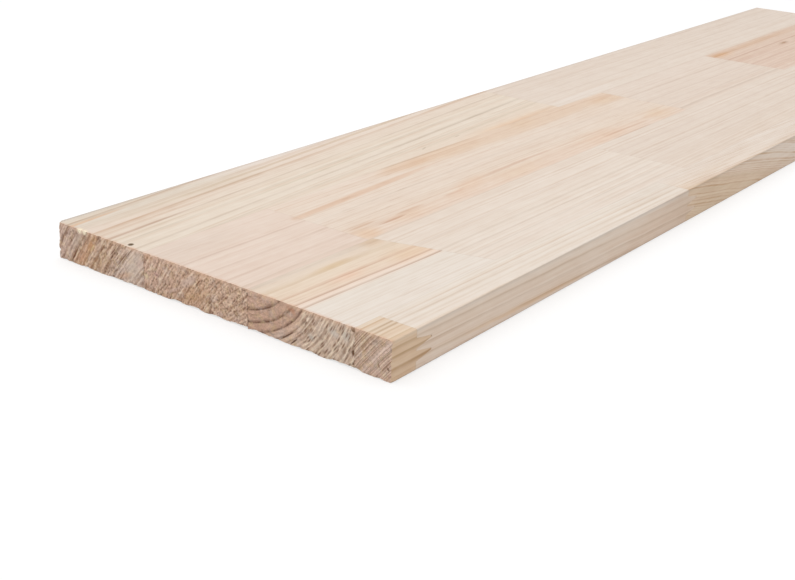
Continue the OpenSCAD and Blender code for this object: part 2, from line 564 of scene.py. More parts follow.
# Share of a patch: a mark whose two ways give the distance from its centre in half-sizes
def patchShare(tree, place, centre, ways, soft, ragged):
    fromCentre = addNode(tree, "VectorMath", [place, centre], operation="SUBTRACT")
    along, across = [addNode(tree, "VectorMath", [fromCentre, way], out="Value", operation="DOT_PRODUCT")
                     for way in ways]
    return markShare(tree, along, across, soft, ragged)


# Lays layers of (share, colour or shade, way of mixing) in order over the wood's colour, and sets the
# bump and the shine of the finish
def finishPine(material, colour, layers, height, roughness, finish):
    tree = material.node_tree
    for share, over, way in layers:
        if isinstance(over, str):
            over = tuple(linearColour(over))
        colour = addNode(tree, "Mix", {0: share, 6: colour, 7: over}, out=2,
                         data_type="RGBA", blend_type=way)
    bump = addNode(tree, "Bump", {"Height": height, "Strength": finish["bumpStrength"],
                                  "Distance": finish["bumpDepth"] * mm})
    setInputs(tree, tree.nodes["Principled BSDF"], {"Base Color": colour, "Normal": bump,
              "Roughness": roughness, "Specular IOR Level": finish["gloss"]})
    return material


planed = {
    "lineBreaks": ((60, 5, 5), 2.0, 0.35, 0.6, 0.45, 1.0),       # a line comes and goes along its length
    "fineLevels": (0.45, 0.7),   # noise levels between which a fine ring darkens
    "finerRings": (2.3, 0.6),    # a second set of fine rings: how much closer, and how strong
    "ragged": ((22, 4, 4), 3.0, 0.0, 1.0, 0.0, 1.0),             # rim of patches and streaks
    "streakSoft": 0.6,
    "fibre": ((70, 1.4, 1.4), 3.0, 0.0, 1.0, 0.0, 1.0),
    "cloud": ((18, 9, 9), 3.0, 0.0, 1.0, 0.0, 1.0),
    "cloudShare": 0.18,
    "fleck": ((8, 2.2, 2.2), 3.0, 0.0, 1.0, 0.0, 1.0),
    "fleckShare": 0.16,
    "canals": ((16, 1, 1), 1.0, 0.66, 0.78, 0.0),                # resin canals cut lengthwise
    "canalColour": "#a8774b",
    # the arris mark's dark colour is painted shade: a contact shadow on the lower arris, and edge shade at
    # the top arris
    "marks": [("seam", 0.1, "#8a6a4c"), ("rim", 0.6, "#dca98a"), ("fresh", 0.9, "#fff0d4"),
              ("arrisShade", 0.62, "#5e5146")],
    "pores": ((9, 0.45, 0.45), 2.0, 0.3, 0.7, 0.52, 0.66),       # roughness; open cells, drawn coarser
    "bumpDepth": 0.34,           # of the pores
    "bumpStrength": 0.35,
    "gloss": 0.3,
}


# Planed pine, bare: pale earlywood, fine latewood lines along the board, fibres that catch a dull light
def planedPine(piece):
    material = newMaterial("planedPine_" + piece["node"])
    tree = material.node_tree
    place, _, ring = grainNodes(tree, piece)
    shown = patternShare(tree, place, planed["lineBreaks"])
    wood = woodTone(tree, piece, ring, shown, piece["ground"], piece["lines"])

    layers = []
    spacing, strength = piece["fine"]      # fine growth rings between the drawn lines, at two spacings
    closer, weaker = planed["finerRings"]
    for apart, share in ((spacing, strength), (spacing / closer, strength * weaker)):
        stripe = fineRings(tree, ring, apart, *planed["fineLevels"], share, shown)
        layers.append((stripe, piece["lateTint"], "MULTIPLY"))

    ragged = patternShare(tree, place, planed["ragged"])
    drawn = []      # (share, colour) of patches and streaks
    for x, y, length, width, turn, soft, hexColour in piece["patches"]:
        slope = math.tan(math.radians(turn))
        ways = (1 / length, 0, 0), (-slope / width, 1 / width, 0)
        drawn.append((patchShare(tree, place, (x, y, 0), ways, soft, ragged), hexColour))
    for y, width, start, end, hexColour in piece["streaks"]:
        half = (end - start) / 2
        along = addNode(tree, "VectorMath", [place, (1 / half, 0, 0)], out="Value",
                        operation="DOT_PRODUCT")
        along = addNode(tree, "Math", [along, start / half + 1], operation="SUBTRACT")
        across = addNode(tree, "Math", [ring, 1 / width, -ringOf(piece, y) / width],
                         operation="MULTIPLY_ADD")
        drawn.append((markShare(tree, along, across, planed["streakSoft"], ragged), hexColour))
    ground = np.mean([linearColour(hexColour) for _, hexColour in piece["ground"]], axis=0)
    for share, hexColour in drawn:
        tint = tuple(np.clip(linearColour(hexColour) / ground, 0, grain["tintMost"]))
        layers.append((share, tint, "MULTIPLY"))

    for name, share in (("fibre", piece["fibre"]), ("cloud", planed["cloudShare"]),
                        ("fleck", planed["fleckShare"])):
        layers.append((share, patternShare(tree, place, planed[name]), "SOFT_LIGHT"))
    canals = patternShare(tree, place, (*planed["canals"], piece["dashes"]))
    layers.append((canals, planed["canalColour"], "MIX"))
    for name, share, hexColour in planed["marks"]:
        mark = addNode(tree, "Attribute", out="Fac", attribute_name=name)
        shade = addNode(tree, "Math", [mark, share], operation="MULTIPLY")
        layers.append((shade, hexColour, "MIX"))
    pores = patternShare(tree, place, planed["pores"])
    return finishPine(material, wood, layers, pores, pores, planed)


sawnFinish = {
    "lineBreaks": ((3, 3, 3), 2.0, 0.35, 0.6, 0.6, 1.0),         # a ring line is torn away here and there
    "tones": [(((9, 5, 5), 3.0, 0.5, 0.66, 0.0, 0.45), "#cdbcb1"),
              (((8, 3.2, 3.2), 3.0, 0.5, 0.66, 0.0, 0.45), "#d6ba92")],
    "ragged": ((4, 2.5, 2.5), 3.0, 0.0, 1.0, 0.0, 1.0),          # rim of patches
    "fine": [(0.5, 0.68, "#8f6a4e"), (0.48, 0.3, "#eddcc5")],  # noise levels of dark and pale fine rings
    "speckle": ((0.55, 0.55, 0.55), 2.0, 0.32, 0.68, 1.16, 0.87),
    "tornShade": (0.15, 0.85, 1.28, 0.84),       # painted highlight on the ridges, painted shade in the pits
    # spots: dark brown in the pits and cream on the ridges, partly the torn wood's own colour and partly
    # painted shade and highlight
    "tornSpots": [(0.7, 0.95, 0.5, "#7a5038"), (0.28, 0.06, 0.5, "#f2e0c8")],
    "dashEdge": (0.45, 0.12),    # size of a dash in its cell, from its rim to its full dark
    "dashDepth": (0.25, 0.65, 0.1, 1.0),         # levels of the faintest and darkest dash, their shares
    "dashFade": 1.5,             # how soon the dashes start past their limit
    "dashColour": "#76513a",
    "glueSpecks": ((1.6, 1.6, 1.6), 2.0, 0.45, 0.66, 0.05, 0.7),
    "glueColour": "#4a3626",
    "rimColour": "#e8c2a6",
    "freshColour": "#fff0d4",
    "bumpDepth": -0.3,           # of the fuzz, inward
    "bumpStrength": 0.5,
    "roughness": 0.85,
    "gloss": 0.15,
}


# Sawn end grain: darker than the face as open cells drink the light, rings plain to see, torn and fuzzy
def sawnPine(piece):
    material = newMaterial("sawnPine_" + piece["node"])
    tree = material.node_tree
    place, fromPith, ring = grainNodes(tree, piece)
    sawn = piece["sawn"]
    lines = sawn["lines"] or [(y, width, sawn["lineColour"]) for y, width, _ in piece["lines"]]
    shown = patternShare(tree, place, sawnFinish["lineBreaks"])
    wood = woodTone(tree, piece, ring, shown, sawn["ground"], lines)
    layers = [(patternShare(tree, place, pattern), hexColour, "MIX")
              for pattern, hexColour in sawnFinish["tones"]]

    acrossRow = addNode(tree, "SeparateXYZ", [place], out="Y")
    limit, fade = sawn["dashesBelow"], sawnFinish["dashFade"]
    beyond = addNode(tree, "MapRange", [acrossRow, limit + fade, limit - fade])
    spacing, *shares = sawn["rings"]
    for share, (start, full, hexColour) in zip(shares, sawnFinish["fine"]):
        stripe = fineRings(tree, ring, spacing, start, full, share, beyond)
        layers.append((stripe, hexColour, "MIX"))

    torn, seam, rim, fresh = [addNode(tree, "Attribute", out="Fac", attribute_name=name)
                              for name in ("torn", "seam", "rim", "fresh")]
    # Painted light on the torn relief: ridges lightened as if lit, pits darkened as if in shade
    low, high, pale, dark = sawnFinish["tornShade"]
    paintedRelief = addNode(tree, "MapRange", [torn, low, high, pale, dark])
    speckle = patternShare(tree, place, sawnFinish["speckle"])
    layers += [(1.0, paintedRelief, "MULTIPLY"), (1.0, speckle, "MULTIPLY")]
    for low, high, share, hexColour in sawnFinish["tornSpots"]:
        spots = addNode(tree, "MapRange", [torn, low, high, 0.0, share])
        layers.append((spots, hexColour, "MIX"))

    ragged = patternShare(tree, place, sawnFinish["ragged"])
    for y, z, length, width, turn, soft, most, hexColour in sawn["patches"]:
        cosine, sine = math.cos(math.radians(turn)), math.sin(math.radians(turn))
        ways = (0, cosine / length, sine / length), (0, -sine / width, cosine / width)
        share = patchShare(tree, place, (0, y, z), ways, soft, ragged)
        share = addNode(tree, "Math", [share, most], operation="MULTIPLY")
        layers.append((share, hexColour, "MIX"))

    # Dashes: torn canals in rows along the rings, one to a cell, at lower Y than the row's own limit
    wide, long = sawn["dashCell"]
    way = addNode(tree, "SeparateXYZ", [fromPith], out=None)
    angle = addNode(tree, "Math", [way["Y"], way["X"]], operation="ARCTAN2")
    middle = ringOf(piece, (piece["low"] + piece["high"]) / 2)
    arc = addNode(tree, "Math", [angle, middle / long], operation="MULTIPLY")
    narrow = addNode(tree, "Math", [ring, 1 / wide], operation="MULTIPLY")
    flat = addNode(tree, "CombineXYZ", [narrow, arc])
    cells = addNode(tree, "TexVoronoi", {"Vector": flat, "Scale": 1.0}, out=None,
                    voronoi_dimensions="2D")
    edge, full = sawnFinish["dashEdge"]
    dashes = addNode(tree, "MapRange", [cells["Distance"], edge, full, 0.0, sawn["dashes"]])
    low, high, least, most = sawnFinish["dashDepth"]
    depth = addNode(tree, "MapRange", [cells["Color"], low, high, least, most])
    for share in (depth, beyond):
        dashes = addNode(tree, "Math", [dashes, share], operation="MULTIPLY")

    specks = patternShare(tree, place, sawnFinish["glueSpecks"])
    gaps = addNode(tree, "Math", [seam, specks], operation="MULTIPLY")
    for share, name in ((dashes, "dashColour"), (gaps, "glueColour"), (rim, "rimColour"),
                        (fresh, "freshColour")):
        layers.append((share, sawnFinish[name], "MIX"))
    return finishPine(material, wood, layers, speckle, sawnFinish["roughness"], sawnFinish)


# A sawn end unless a length's own entry says otherwise
plainSawn = {
    "ground": [(0, "#d3b8a5"), (200, "#d3b8a5")],
    "lines": [],             # none: the face's own lines, in the colour below
    "lineColour": "#937259",
    "tear": [(0, 0.6), (200, 0.6)],  # how hard the saw tore, at places across the board
    "rings": (1.6, 0.35, 0.2),       # spacing of the fine rings, share of dark and of pale ones
    "dashes": 0.3,
    "dashCell": (1.7, 2.6),  # spacing of the dashes, across the rings and along them
    "dashesBelow": 210,      # Y under which there are dashes and fine rings
    "patches": [],           # (Y, Z, half length, half width, turn in degrees, softness, share, colour)
}

# What all lengths share unless their own entry says otherwise
pine = {
    "drift": 0.0,            # how far the rings move across the board for each millimetre along it
    "sway": 0.8,             # slow wander of the rings
    "nearSkew": 0,           # turn of a joint out of square, in degrees
    "farSkew": 0,
    "fine": (2.2, 0.3),      # spacing and strength of the fine rings
    "lateTint": "#e8d6c4",
    "fibre": 0.25,
    "dashes": 0.1,
    "patches": [],           # (X, Y, half length, half width, turn in degrees, softness, colour)
    "streaks": [],           # (Y where the piece starts, half width, from X, to X, colour)
    "pits": [],              # (X, Y, half length, half width, depth)
    "splinters": [],         # (Y, half width)
    "cornerWear": 0.0,       # how far the outer near corner is rubbed back at the top
    "topShade": 0.0,         # share of painted shade on the top outer edge, and in the line below it
    "sideShade": 0.0,
    "sawn": plainSawn,
}

# Ground is (Y, colour of the clear wood) and lines are (Y, width, colour at the darkest), with Y on the top
# face where the piece starts
pitPlace = (2.9, 151.9)
skewedJoint = 15             # degrees, between the first two lengths of the inner right row
leftStave1 = {
    **pine, "slot": "pale_sapwood",
    "pith": (-20, -137), "drift": 0.070, "sway": 0.5,
    "ground": [
        (120, "#e8d6c4"), (141, "#e8daca"), (160, "#e7d8c7"), (180, "#e7d6c7"), (188, "#e8dbd0"),
        (200, "#e8dacc"),
    ],
    "lines": [
        (192.8, 1.6, "#c9ab92"), (174.8, 2.7, "#cead90"), (164, 1.5, "#d6c3b0"),
        (156.2, 1.4, "#d6c6b3"), (146.5, 1.4, "#cfbca8"), (138.5, 1.3, "#d9c8b4"),
    ],
    "streaks": [
        (180.5, 1.1, 40, 420, "#dcc9b3"), (171.6, 0.6, -40, 70, "#e2cfbd"),
        (169.4, 0.8, -40, 95, "#e0cbb8"), (190, 0.9, -40, 38, "#e6c6aa"),
        (164, 1.0, -60, 58, "#d4baa7"), (160.5, 0.6, -30, 60, "#e0cfbd"),
        (174.8, 1.0, 36, 140, "#dac6b1"), (152, 0.6, 70, 220, "#ddcebb"),
        (147, 1.0, 185, 420, "#e0d1c1"), (133, 1.0, 190, 420, "#dccbb8"),
    ],
    "fine": (2.6, 0.35), "dashes": 0.15,
    "patches": [
        (302, 139.5, 50, 8.5, 0, 0.7, "#e6ccb3"), (40, 190, 95, 10, 0, 0.5, "#e0d1be"),
        (*pitPlace, 1.6, 1.5, 10, 0.35, "#7a6650"), (*pitPlace, 0.9, 0.8, 10, 0.8, "#bca587"),
        (217, 147.6, 3.0, 0.6, 18, 0.5, "#d3c1ae"), (251, 148.7, 3.0, 0.6, 6, 0.5, "#d3c1ae"),
    ],
    "pits": [(*pitPlace, 1.3, 1.2, 0.25)],
    "splinters": [(184.2, 1.3), (180.8, 1.2)],
    "cornerWear": 1.2, "topShade": 0.8,
    "sawn": {
        **plainSawn,
        "ground": [
            (200, "#cbafa0"), (188, "#ccb0a1"), (181, "#caad9d"), (177, "#cba68e"), (171.5, "#c9a182"),
            (167, "#caa78d"), (160, "#caaa93"), (150, "#ceb2a0"), (147, "#d7c0b2"), (125, "#d7c0b2"),
        ],
        "lines": [
            (192, 0.9, "#9c7a66"), (179, 1.2, "#6b452f"), (164, 0.9, "#8d6a4c"),
            (155.6, 1.1, "#74503a"), (147.6, 1.1, "#70492f"),
        ],
        "tear": [(200, 0.7), (178, 0.8), (165, 1.0), (150, 0.7), (145, 0.4), (120, 0.4)],
        "rings": (1.5, 0.45, 0.25), "dashes": 0.3, "dashCell": (1.8, 4.0),
        "patches": [
            (186, 12, 6.0, 2.6, 124, 0.9, 0.55, "#d2bcaa"),
            (183.5, 4.5, 4.5, 2.0, 124, 0.9, 0.45, "#d2a083"),
            (176.5, 12, 4.5, 2.2, 124, 0.9, 0.5, "#c79468"),
            (175.4, 11, 2.8, 0.5, 124, 0.6, 0.8, "#f4d8aa"),
            (171, 12.6, 4.0, 1.8, 120, 0.9, 0.5, "#d2b6a8"),
            (172, 5.5, 4.5, 3.0, 100, 0.9, 0.4, "#a98262"),
            (165, 7, 4.0, 1.8, 110, 0.9, 0.4, "#a57e5c"),
            (170, 6.5, 4.0, 0.45, 93, 0.6, 0.7, "#e9cda5"),
            (166.6, 8.5, 2.8, 0.45, 96, 0.6, 0.7, "#e9cfa9"),
            (148, 8.5, 9.0, 4.4, 115, 0.8, 0.6, "#e0cebe"),
            (143, 12, 4.0, 2.0, 120, 0.9, 0.5, "#e0c3b6"),
            (154.5, 3, 6.0, 1.4, 160, 0.9, 0.5, "#d2a588"),
            (141.6, 2.5, 2.6, 1.6, 130, 0.8, 0.6, "#9f7766"),
            (188.2, 5, 5.0, 0.42, 124, 0.5, 0.8, "#7d553e"),
            (160.5, 13.7, 4.5, 0.36, 132, 0.5, 0.7, "#86604a"),
            (155.2, 10.7, 6.5, 0.4, 132, 0.5, 0.75, "#7f5842"),
        ],
    },
}
leftStave2 = {
    **pine, "slot": "pale_sapwood",
    "pith": (20, -137), "drift": 0.012, "sway": 1.6,
    "ground": [(141, "#e5d6c8"), (200, "#e3d3c5")],
    "lines": [
        (160, 1.4, "#decdbe"), (171, 1.4, "#ddccbd"), (182, 1.4, "#dccbbb"), (192, 1.4, "#dac8b8"),
    ],
    "fine": (2.8, 0.2), "dashes": 0.05, "topShade": 0.8,
    "patches": [(392, 147, 42, 5.5, 0, 0.8, "#e7d9cd")],
}
innerLeft1 = {
    **pine, "slot": "pale_sapwood",
    "pith": (20, -60),
    "ground": [(77, "#e6d2c3"), (141, "#e7d4c5")],
    "lines": [
        (116.2, 1.3, "#dac2b1"), (102.2, 1.4, "#d7beac"), (90, 1.2, "#d9c0ae"), (80.6, 1.2, "#dac3b0"),
    ],
    "fine": (2.8, 0.2), "lateTint": "#ecd9cb", "dashes": 0.1,
    "patches": [(80, 121.1, 4.4, 2.6, 0, 0.6, "#dfc4ae"), (14, 130, 34, 14, 0, 0.9, "#e1cebf")],
    "sawn": {
        **plainSawn,
        "ground": [
            (145, "#cfae9b"), (120, "#d1b09c"), (100, "#cfab92"), (85, "#d0af99"), (60, "#cfad97"),
        ],
        "lines": [
            (104.6, 0.9, "#8a6248"), (81, 0.9, "#8f6b51"), (92, 0.8, "#9c775e"), (112, 0.7, "#a9866f"),
        ],
        "tear": [(141, 0.9), (110, 0.8), (77, 0.9)],
        "rings": (1.3, 0.3, 0.25), "dashes": 0.5, "dashCell": (1.3, 2.0),
        "patches": [
            (112.6, 11.6, 7.5, 2.1, 144, 0.6, 0.8, "#dec2b2"),
            (121.5, 5.4, 5.0, 0.9, 150, 0.7, 0.7, "#dcbfb0"),
            (108.8, 6, 9.0, 3.4, 155, 0.9, 0.4, "#d2a87f"),
            (106.2, 12.8, 2.4, 0.32, 130, 0.5, 0.8, "#85593f"),
            (87.5, 10.2, 7.0, 0.9, 126, 0.8, 0.6, "#ddc1aa"),
            (84.8, 10.5, 1.6, 0.36, 128, 0.5, 0.7, "#7d553e"),
            (99.2, 5.5, 1.6, 0.36, 140, 0.5, 0.7, "#7d553e"),
            (94, 1.6, 3.0, 1.4, 160, 0.8, 0.6, "#d9bfb2"),
            (83.6, 1.6, 2.2, 1.4, 150, 0.8, 0.6, "#d9bfb2"),
            (132.8, 9.5, 1.7, 1.3, 0, 0.8, 0.6, "#dcb2a8"),
            (132.7, 9.3, 0.5, 0.4, 0, 0.4, 0.8, "#74504a"),
            (139.2, 7, 1.6, 1.3, 60, 0.6, 0.5, "#e2d2aa"),
            (137.5, 16.4, 3.0, 1.2, 0, 0.9, 0.5, "#cb9d76"),
            (139.8, 2.5, 1.4, 1.6, 0, 0.8, 0.5, "#a67c6a"),
            (122, 13, 5.0, 1.2, 125, 0.9, 0.4, "#d8b596"),
        ],
    },
}
innerLeft2 = {
    **pine, "slot": "rosy_heartwood",
    "pith": (20, -60), "sway": 1.0,
    "ground": [(77, "#e7d5c6"), (95, "#e7d5c4"), (110, "#e8d8c9"), (122, "#e8d7c7"), (141, "#e8d6c6")],
    "lines": [(111.5, 1.2, "#dcc9b7"), (105, 1.0, "#e2d0bf"), (99, 1.0, "#e1cdba")],
    "streaks": [
        (93.6, 0.7, 195, 264, "#dfc5b2"), (91, 0.7, 80, 105, "#dbbfa8"), (89, 0.7, 118, 140, "#dec3ad"),
        (85.6, 0.6, 99, 120, "#d3b39d"), (88.5, 0.7, 154, 174, "#dfc5b1"),
        (84, 0.6, 300, 372, "#ddc3ae"), (140.1, 0.8, 150, 262, "#d9c2ac"),
        (77.6, 0.7, 308, 362, "#d9bfaa"),
    ],
    "fine": (2.0, 0.3), "lateTint": "#ead5c2", "fibre": 0.3, "dashes": 0.3,
    "patches": [
        (291, 134.2, 130, 10.0, 0, 0.3, "#e3cbb5"), (182, 135.5, 26, 6.5, 0, 0.5, "#e4cdb8"),
        (394, 127, 26, 6, 0, 0.8, "#e3cbb4"), (366, 116, 46, 14, 0, 0.9, "#e6d3c2"),
        (222, 134, 30, 6, 0, 0.9, "#e7d4c2"), (302, 136, 16, 6, 0, 0.7, "#e7d4c1"),
        (396, 134, 18, 7, 0, 0.8, "#e6d2c0"), (120, 122.6, 80, 2.7, 2.6, 0.5, "#e1c4ad"),
        (250, 81, 190, 12, 0, 0.9, "#e7d1be"), (87, 82, 9, 8, 0, 0.9, "#e5cbb2"),
        (122, 84, 18, 5, 0, 0.9, "#e6cfba"), (178, 89, 22, 7, 16, 0.9, "#e7d0bc"),
        (220, 84, 24, 7, 0, 0.9, "#e7d4c1"), (312, 87, 24, 9, 0, 0.9, "#e6cfbb"),
        (385, 86, 18, 9, 0, 0.9, "#e5ceb7"),
    ],
}
innerLeft3 = {
    **pine, "slot": "pale_sapwood",
    "pith": (20, -70), "sway": 1.0,
    "ground": [(77, "#e4d3c4"), (141, "#e5d5c7")],
    "lines": [
        (121, 1.3, "#d8c5b4"), (106, 1.0, "#dccabb"), (98, 1.2, "#dac7b8"), (91, 1.2, "#dac6b6"),
        (82.5, 1.3, "#d5c1b0"),
    ],
    "fine": (2.6, 0.25), "lateTint": "#eadacd",
}
innerLeft4 = {
    **pine, "slot": "rosy_heartwood",
    "pith": (20, -60), "sway": 1.6,
    "ground": [(77, "#e2cbba"), (110, "#e0c8b6"), (141, "#dfc7b4")],
    "lines": [
        (122, 2.0, "#d6b8a4"), (114, 2.4, "#d9baa6"), (103, 2.0, "#d8bba8"), (90, 2.0, "#d8bba7"),
    ],
    "fine": (2.4, 0.35), "lateTint": "#e8cdb9", "fibre": 0.3, "dashes": 0.2,
    "patches": [
        (640, 135, 110, 4.0, 0, 0.9, "#dbbda3"), (580, 133, 17, 5.5, 0, 0.9, "#dcb898"),
        (663, 117.2, 9.0, 2.6, 4, 0.9, "#c9aa92"), (663, 117.2, 5.0, 1.2, 4, 0.9, "#cbab93"),
    ],
}
innerRight1 = {
    **pine, "slot": "rosy_heartwood",
    "pith": (81.2, 41), "drift": -0.030, "sway": 0.4, "farSkew": skewedJoint,
    "ground": [
        (77, "#e6d5c4"), (66, "#e8d5c0"), (56, "#e9d4bf"), (51.6, "#e9d3bf"), (48.4, "#efdccd"),
        (46.6, "#ecdccd"), (44, "#e9ded2"), (19, "#ebe0d5"),
    ],
    "lines": [
        (75.5, 1.2, "#dbcab9"), (67.6, 1.6, "#dbc4a8"), (58.2, 1.7, "#d6b49a"), (50.5, 1.2, "#c39d85"),
        (46.2, 1.3, "#bf9d86"),
    ],
    "fine": (1.4, 0.3), "lateTint": "#eadccd", "dashes": 0.2,
    "patches": [
        (79, 74, 9, 5.2, 0, 0.9, "#e2c8ae"), (44, 68, 14, 2.4, 0, 0.9, "#e5ceb2"),
        (80, 52, 16, 8, 0, 0.9, "#e8d1ba"), (40, 55, 12, 4, 0, 0.9, "#ecd2c0"),
    ],
    "sawn": {
        **plainSawn,
        "ground": [(77, "#c7a592"), (58, "#c4a18d"), (47, "#c6a38f"), (42, "#d2b5a1"), (19, "#d8bfac")],
        "lines": [
            (68, 0.8, "#a88570"), (58.7, 1.5, "#583823"), (51.1, 1.4, "#573722"),
            (45.8, 1.2, "#553521"), (41.8, 0.9, "#7d5a44"), (38.6, 0.8, "#8f6c55"),
        ],
        "tear": [(77, 0.5), (50, 0.5), (43, 0.7), (19, 0.7)],
        "rings": (1.3, 0.5, 0.8), "dashes": 0.8, "dashCell": (1.15, 3.2), "dashesBelow": 46,
        "patches": [
            (31, 9, 15, 60, 0, 0.5, 0.3, "#dcc6b3"), (29.5, 12.5, 3.0, 1.8, 20, 0.9, 0.6, "#d9d0c6"),
            (41.5, 7, 2.4, 1.4, 30, 0.9, 0.5, "#d3cbc2"), (23.5, 13, 2.6, 2.2, 40, 0.9, 0.6, "#dbd3c6"),
            (52.5, 16, 2.6, 1.6, 30, 0.9, 0.5, "#c98e6c"),
            (45, 15.6, 4.4, 0.42, 128, 0.5, 0.7, "#ead6bd"),
            (54.5, 3.75, 5.2, 0.36, 144, 0.5, 0.85, "#5b3b26"),
            (51, 2.1, 2.7, 0.36, 137, 0.5, 0.85, "#5b3b26"),
            (19.6, 17, 1.4, 1.2, 0, 0.4, 0.9, "#6b4a2c"),
            (19.6, 8.5, 3.4, 0.5, 94, 0.6, 0.5, "#7a573f"),
            (19.6, 6.9, 1.2, 0.9, 90, 0.4, 0.8, "#5f4129"),
            (19.4, 2.2, 0.7, 0.6, 90, 0.4, 0.8, "#6a4b33"),
        ],
    },
}
innerRight2 = {
    **pine, "slot": "pale_sapwood",
    "pith": (160, -70), "nearSkew": skewedJoint,
    "ground": [(77, "#e8d9cb"), (40, "#eaddd0"), (19, "#e9dbce")],
    "lines": [
        (56, 1.3, "#e0cfc0"), (44.4, 1.4, "#dbcab9"), (37, 1.1, "#dfd0c2"), (30.3, 1.1, "#ddcebf"),
        (24, 1.0, "#dfcfc0"),
    ],
    "fine": (1.5, 0.45), "lateTint": "#ebddcf",
}
innerRight3 = {
    **pine, "slot": "pale_sapwood",
    "pith": (160, -70),
    "ground": [(77, "#e6d7c9"), (40, "#e5d6c8"), (19, "#e5d5c6")],
    "lines": [
        (62, 1.2, "#dfcec0"), (53, 1.0, "#e1d1c2"), (47, 1.2, "#dcc9b9"), (38, 1.1, "#dfcebf"),
        (33, 1.0, "#decdbd"), (24, 1.2, "#dbc8b6"),
    ],
    "fine": (1.4, 0.4), "lateTint": "#eadacc",
}
innerRight4 = {
    **pine, "slot": "pale_sapwood",
    "pith": (150, -70),
    "ground": [(77, "#e8dacc"), (19, "#e7d9cb")],
    "lines": [(66, 1.2, "#dccab9"), (52, 1.3, "#dbc9b8"), (41, 1.1, "#dccbbb"), (30, 1.2, "#dac7b5")],
    "fine": (2.2, 0.35), "lateTint": "#ebddd0",
}
edgeStrip1 = {
    **pine, "slot": "tan_heartwood",
    "pith": (-113, -94), "sway": 0.2,
    "ground": [(19, "#e5d2bd"), (6, "#e5d0b9"), (0.5, "#e4cdb4"), (-2, "#e1c6a9"), (-17, "#e2c6a9")],
    "lines": [
        (16.3, 0.8, "#d0b08d"), (12.4, 0.8, "#bb976e"), (9.9, 0.8, "#bf9b73"), (7.2, 0.8, "#d3b796"),
        (2.4, 0.8, "#d3b795"), (-3.2, 1.3, "#bf9d77"), (-6.9, 1.3, "#ba9771"), (-12.0, 1.6, "#b38e67"),
    ],
    "streaks": [(12.2, 0.8, -15, 40, "#dac2a8"), (9.8, 0.8, -15, 40, "#dac2a8")],
    "fine": (1.5, 0.3), "lateTint": "#e6ccae", "fibre": 0.3, "dashes": 0.15, "sideShade": 0.15,
    "sawn": {
        **plainSawn,
        "ground": [
            (19, "#ceb09b"), (5, "#cfb19d"), (1.5, "#d2b6a4"), (-0.6, "#dcc2b4"), (-2.4, "#d9bfb0"),
            (-5, "#d0b2a0"), (-17, "#cdae9c"),
        ],
        "lines": [
            (16.0, 0.7, "#84634b"), (12.6, 0.8, "#7d5c45"), (9.6, 0.8, "#7d5c45"),
            (6.9, 0.8, "#80604a"), (4.4, 0.7, "#84644e"), (2.0, 0.7, "#8c6c56"), (-3.4, 0.9, "#65452f"),
            (-8.2, 0.8, "#84644c"),
        ],
        "tear": [(19, 0.3), (0, 0.35)],
        "rings": (0.8, 0.45, 0.5), "dashes": 0.2,
        "patches": [
            (2.0, 5.4, 0.8, 0.6, 60, 0.5, 0.7, "#6a4b33"),
            (6.5, 5.4, 0.9, 0.5, 60, 0.5, 0.6, "#7d5a44"), (6, 2.0, 6, 1.4, 25, 0.9, 0.4, "#d5b0a0"),
        ],
    },
}
edgeStrip2 = {
    **pine, "slot": "pale_sapwood",
    "pith": (-113, -94), "drift": -0.019, "sway": 0.4,
    "ground": [(23, "#eadfd3"), (4, "#ebdfd3"), (1, "#ebdccd"), (-1.5, "#e9d7c6"), (-18, "#ebd7c6")],
    "lines": [
        (18.6, 1.0, "#e0d1c1"), (14.9, 1.0, "#e3d4c5"), (11.1, 1.0, "#d8c5b1"), (7.3, 1.0, "#e4d6c7"),
        (-2.6, 1.0, "#d5bda5"), (-7.7, 1.0, "#d3baa2"), (-12.6, 1.0, "#d5bda5"),
    ],
    "streaks": [(-13.2, 0.8, 46, 150, "#ecd5bd")],
    "patches": [
        (228, 0, 48, 0.35, 0, 0.9, "#e7d5c5"), (250, 0, 26, 0.35, 0, 0.9, "#e4d3c3"),
        (235, 13, 32, 8, 0, 0.9, "#e6d6c7"),
    ],
    "fine": (1.5, 0.4), "lateTint": "#ebdac6", "sideShade": 0.3,
}
edgeStrip3 = {
    **pine, "slot": "tan_heartwood",
    "pith": (-170, -70), "drift": -0.085, "sway": 0.7,
    "ground": [
        (45, "#eaded3"), (19, "#eaded3"), (8, "#e9dacc"), (4, "#e7d3c0"), (1, "#e3ccb3"),
        (-10, "#e1caae"),
    ],
    "lines": [
        (31, 1.0, "#e5d7c9"), (25, 1.0, "#e5d7c8"), (20, 1.0, "#e3d5c5"), (15, 0.9, "#e3d4c2"),
        (11.5, 0.9, "#e2d0bc"), (8, 0.9, "#e2d0bb"), (5.3, 0.9, "#dfc9b2"), (2.6, 0.9, "#dcc6ac"),
        (0, 0.9, "#dbc3a7"),
    ],
    "patches": [(278, 2.0, 34, 2.0, 0, 0.8, "#e7d8ca"), (256, 0, 14, 0.35, 0, 0.9, "#e9d8c8")],
    "fine": (0.5, 0.8), "lateTint": "#e6d2bc", "fibre": 0.3, "sideShade": 0.3,
}
edgeStrip4 = {
    **pine, "slot": "pale_sapwood",
    "pith": (-113, -94), "sway": 0.7,
    "ground": [(19, "#e8dbce"), (2, "#e8d9ca"), (-1, "#e9d5c2"), (-18, "#e8d3be")],
    "lines": [
        (15, 1.0, "#d9c6b0"), (10, 1.0, "#d8c4ad"), (5, 1.0, "#d7c2aa"), (-1, 1.1, "#d6bfa5"),
        (-8, 1.1, "#d5bda2"),
    ],
    "fine": (1.8, 0.35), "lateTint": "#ebdac6", "sideShade": 0.3,
}

